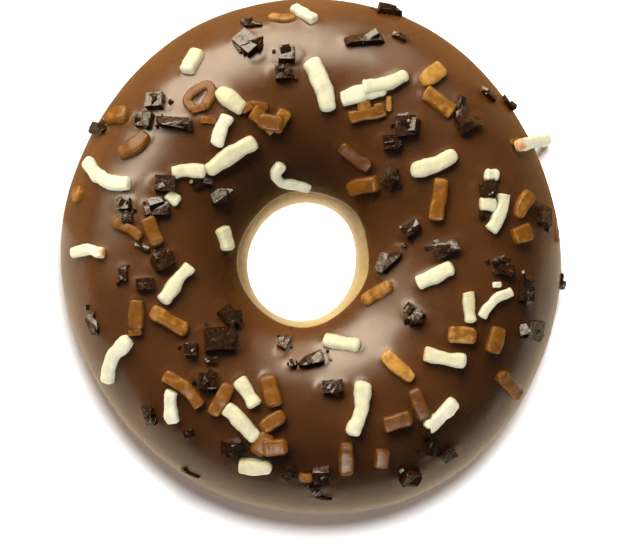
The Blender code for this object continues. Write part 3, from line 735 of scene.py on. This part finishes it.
def darkChocolate(look):
    material, tree, shader, places = newMaterial("darkChocolate", **look["shader"])
    speckle = pattern(tree, places, look["speckleSize"], 4.0)
    tree.links.new(ramp(tree, speckle, look["tones"]), shader.inputs["Base Color"])
    tree.links.new(spread(tree, speckle, *usualNoise, *look["roughness"]), shader.inputs["Roughness"])
    bumps(tree, shader, places, (look["breaks"], look["grain"]))
    return material


def makeChips(name, kind, laid, tree, look):
    rng = random.Random(kind["seed"])
    tilts = kind["tilts"]
    rows = []

    def strew(place, along, normal, size, crumb, tilt, boxy):
        side = normal.cross(along).normalized()
        pose = Matrix((along, side, normal)).transposed()
        lean = Euler((rng.uniform(-tilt, tilt), rng.uniform(-tilt, tilt), rng.uniform(-tilt, tilt)))
        turn = (pose @ lean.to_matrix()).to_euler()
        half = kind["shapes"] // 2
        rows.append((place, turn, size, crumb, rng.randrange(half) + (0 if boxy else half)))

    for stations, normal, width, thickness, beyond in laid:
        along = stations[-1] - stations[0]
        length = along.length + beyond * 2
        along = along.normalized()
        side = normal.cross(along).normalized()
        middle = stations[1]
        slender = length > width * kind["slender"]
        body = 1.0 if slender else kind["chunkBody"]
        size = (length * body, width * body, thickness)
        strew(middle, along, normal, size, False, tilts["chip"], slender)
        for lump in range(1 if slender else kind["lumpsEach"]):
            shift = along * rng.uniform(-kind["lumpAlong"], kind["lumpAlong"]) * length
            shift += side * rng.uniform(-kind["lumpAside"], kind["lumpAside"]) * width
            share = rng.uniform(*kind["lumpShares"])
            height = thickness * rng.uniform(*kind["lumpHeights"])
            size = (length * share, width * share * kind["lumpBreadth"], height)
            lifted = middle + shift + normal * rng.uniform(*kind["lumpLifts"])
            strew(lifted, along, normal, size, False, tilts["lump"], rng.random() < kind["boxyLumps"])
        for crumb in range(rng.randint(0, kind["crumbsEach"])):
            angle = rng.uniform(0, math.tau)
            reach = rng.uniform(*kind["crumbReach"])
            spot = middle + along * math.cos(angle) * length * reach + side * math.sin(angle) * width * reach
            if shareAcross(spot.xy) > kind["crumbRim"]:
                continue
            top, up = icingTop(spot.xy)
            across = rng.uniform(*kind["crumbSize"])
            size = (across, across * rng.uniform(*kind["crumbBreadths"]), across * kind["crumbHeight"])
            strew(top + up * across * kind["crumbLift"], side, up, size, True, tilts["crumb"], False)
    host = bpy.data.meshes.new(name)
    host.from_pydata([row[0] * mm for row in rows], [], [])
    turns = [part for row in rows for part in row[1]]
    sizes = [part * mm for row in rows for part in row[2]]
    host.attributes.new("chipTurn", "FLOAT_VECTOR", "POINT").data.foreach_set("vector", turns)
    host.attributes.new("chipSize", "FLOAT_VECTOR", "POINT").data.foreach_set("vector", sizes)
    host.attributes.new("isCrumb", "BOOLEAN", "POINT").data.foreach_set("value", [row[3] for row in rows])
    host.attributes.new("chipShape", "INT", "POINT").data.foreach_set("value", [row[4] for row in rows])
    piece = grown(name, host, tree, dict(kind, Material=look))
    piece.data.set_sharp_from_angle(angle=math.radians(kind["sharpAngle"]))
    return piece


# All the pieces, each laid before what lies over it
placed = []
darkLaid = laidPieces(darkChips, ("bars",), placed)
caramelLaid = laidPieces(caramelFlakes, ("bars", "curls"), placed)
whiteLaid = laidPieces(whiteStrands, ("bars", "curls"), placed)
caramelLaid += laidPieces(caramelFlakes, ("small",), placed)
whiteLaid += laidPieces(whiteStrands, ("small",), placed)
darkLaid += laidPieces(darkChips, ("small",), placed)
print("pieces laid:", len(whiteLaid), "white,", len(caramelLaid), "caramel,", len(darkLaid), "dark")

milk = milkChocolate(milkLook)
paleChocolate = tonedChocolate("whiteChocolate", whiteLook)
caramelChocolate = tonedChocolate("caramelChocolate", caramelLook)
chipChocolate = darkChocolate(chipLook)
fried = friedDough(doughLook)
print("materials made")

skinTree = rippleTree()
lineTree = barTree()
dough = makeDough(skinTree, fried)
icing = makeIcing(skinTree, darkLaid + caramelLaid + whiteLaid, milk)
white = makeBars("whiteStrands", whiteStrands, whiteLaid, lineTree, paleChocolate)
caramel = makeBars("caramelFlakes", caramelFlakes, caramelLaid, lineTree, caramelChocolate)
dark = makeChips("darkChips", darkChips, darkLaid, chipTree(darkChips), chipChocolate)
for piece, node, slot in ((dough, "dough", "fried_dough"), (icing, "icing", "chocolate_icing"),
                          (white, "icing", "chocolate_icing"), (caramel, "icing", "chocolate_icing"),
                          (dark, "icing", "chocolate_icing")):
    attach(piece, "root")
    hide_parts(node)
print("pieces ride")


# The studio
studio = {
    "aim": Vector((1.35, -3.42, 15.0)), "frameWidth": 115.2, "sensorWidth": 36.0, "nearest": 10 * mm,
    "cameraUp": Vector((0, 1, 0)), "lampUp": Vector((0, 0.3, 1)), "ambient": 0.06,
    "floorReach": 900, "floorColour": (0.93, 0.93, 0.93),
    "floorShader": {"Roughness": 0.9, "Specular_IOR_Level": 0.1},
    # painted reflections: sheets that only glossy rays see, whose colours paint what the glossy pieces
    # reflect, a dim warm one south and a dark brown one north of the middle: from y, to y and colour
    "paintedReflection": {
        "paintedReflectionSouth": (-400, 8, (0.53, 0.48, 0.36)), "paintedReflectionNorth": (8, 400, (0.22, 0.14, 0.055)),
    },
    "paintedReflectionHeight": 0.05,
    "matt": ("bounceLamp",),  # lamps that no piece mirrors
    "lamps": {
        # place and aim in millimetres, size, power, colour and what it lights
        "windowLamp": ((-250, 600, 420), (0, 0, 15), (800, 620), 11.5, (1.0, 0.90, 0.70), "doughnut"),
        "wideLamp": ((-250, 600, 400), (0, 0, 15), (1900, 560), 6.0, (1.0, 0.89, 0.66), "doughnut"),
        "bounceLamp": ((0, 0, 0.1), (0, 0, 100), (500, 500), 1.26, (1.0, 0.95, 0.84), "doughnut"),
        "fillLamp": ((20, -420, 480), (0, 0, 15), (300, 300), 4.2, (1.0, 0.97, 0.90), "pieces"),
    },
    "spotBlend": 0.15,
    "spots": {
        # place, foot, reach at the foot, the lamp's own radius, power and colour; all light the
        # floor, the last one what is seen of it through the hole
        "floorLamp": ((-5, 138, 840), (0, 0, 0), 420, 105, 46.0, (1.0, 0.98, 0.95)),
        "floorFillLamp": ((-30, -240, 800), (0, 0, 0), 150, 100, 3.2, (1.0, 1.0, 1.0)),
        "holeLamp": (tuple(sight["eye"]), (-1.3, 0.2, 0.0), 20, 10, 26.0, (1.0, 1.0, 1.0)),
    },
}


def lookAt(place, aim, up):
    forward = (aim - place).normalized()
    right = forward.cross(up).normalized()
    turn = Matrix((right, right.cross(forward), -forward)).transposed()
    return Matrix.Translation(place * mm) @ turn.to_4x4()


def makeCamera():
    data = bpy.data.cameras.new("camera")
    data.sensor_width = studio["sensorWidth"]
    data.lens = studio["sensorWidth"] * (sight["eye"] - studio["aim"]).length / studio["frameWidth"]
    data.clip_start = studio["nearest"]
    data.dof.use_dof = False
    camera = bpy.data.objects.new("camera", data)
    bpy.context.scene.collection.objects.link(camera)
    camera.matrix_world = lookAt(sight["eye"], studio["aim"], studio["cameraUp"])
    bpy.context.scene.camera = camera


def layFloor(name, south, north, height, colour):
    mesh = bpy.data.meshes.new(name)
    reach = studio["floorReach"]
    corners = ((-reach, south), (reach, south), (reach, north), (-reach, north))
    mesh.from_pydata([(x * mm, y * mm, height * mm) for x, y in corners], [], [(0, 1, 2, 3)])
    material, tree, shader, places = newMaterial(name + "Look", **studio["floorShader"])
    shader.inputs["Base Color"].default_value = (*colour, 1.0)
    mesh.materials.append(material)
    floor = bpy.data.objects.new(name, mesh)
    bpy.context.scene.collection.objects.link(floor)
    return floor


def makeFloors():
    # the pale floor, hidden from glossy rays, and the painted reflections: sheets that only glossy rays see,
    # whose dimmer, warmer and darker colours paint what the glossy pieces reflect
    reach = studio["floorReach"]
    floors = [layFloor("floor", -reach, reach, 0.0, studio["floorColour"])]
    floors[0].visible_glossy = False
    for name, (south, north, colour) in studio["paintedReflection"].items():
        # a painted reflection, seen neither by the camera nor by diffuse or shadow rays
        paintedReflection = layFloor(name, south, north, studio["paintedReflectionHeight"], colour)
        paintedReflection.visible_camera = False
        paintedReflection.visible_diffuse = False
        paintedReflection.visible_shadow = False
        floors.append(paintedReflection)
    return floors


def makeLamps(floors):
    lit = {}
    for name, members in (("doughnut", (dough, icing, white, caramel, dark)), ("pieces", (white, caramel)),
                          ("floor", floors)):
        lit[name] = bpy.data.collections.new(name + "Lit")
        for member in members:
            lit[name].objects.link(member)
    for name, (place, aim, size, power, colour, lights) in studio["lamps"].items():
        data = bpy.data.lights.new(name, "AREA")
        data.shape = "RECTANGLE"
        data.size = size[0] * mm
        data.size_y = size[1] * mm
        data.energy = power
        data.color = colour
        lamp = bpy.data.objects.new(name, data)
        bpy.context.scene.collection.objects.link(lamp)
        lamp.matrix_world = lookAt(Vector(place), Vector(aim), studio["lampUp"])
        lamp.visible_glossy = name not in studio["matt"]
        lamp.light_linking.receiver_collection = lit[lights]
    for name, (place, foot, reach, radius, power, colour) in studio["spots"].items():
        data = bpy.data.lights.new(name, "SPOT")
        data.energy = power
        data.color = colour
        data.spot_size = 2 * math.atan(reach / (Vector(place) - Vector(foot)).length)
        data.spot_blend = studio["spotBlend"]
        data.shadow_soft_size = radius * mm
        lamp = bpy.data.objects.new(name, data)
        bpy.context.scene.collection.objects.link(lamp)
        lamp.matrix_world = lookAt(Vector(place), Vector(foot), studio["cameraUp"])
        lamp.light_linking.receiver_collection = lit["floor"]


def makeWorld():
    world = bpy.data.worlds.new("studioAir")
    world.use_nodes = True
    background = world.node_tree.nodes["Background"]
    background.inputs["Color"].default_value = (1.0, 1.0, 1.0, 1.0)
    background.inputs["Strength"].default_value = studio["ambient"]
    bpy.context.scene.world = world
    bpy.context.scene.view_settings.view_transform = "Standard"


makeCamera()
makeLamps(makeFloors())
makeWorld()
print("studio made")
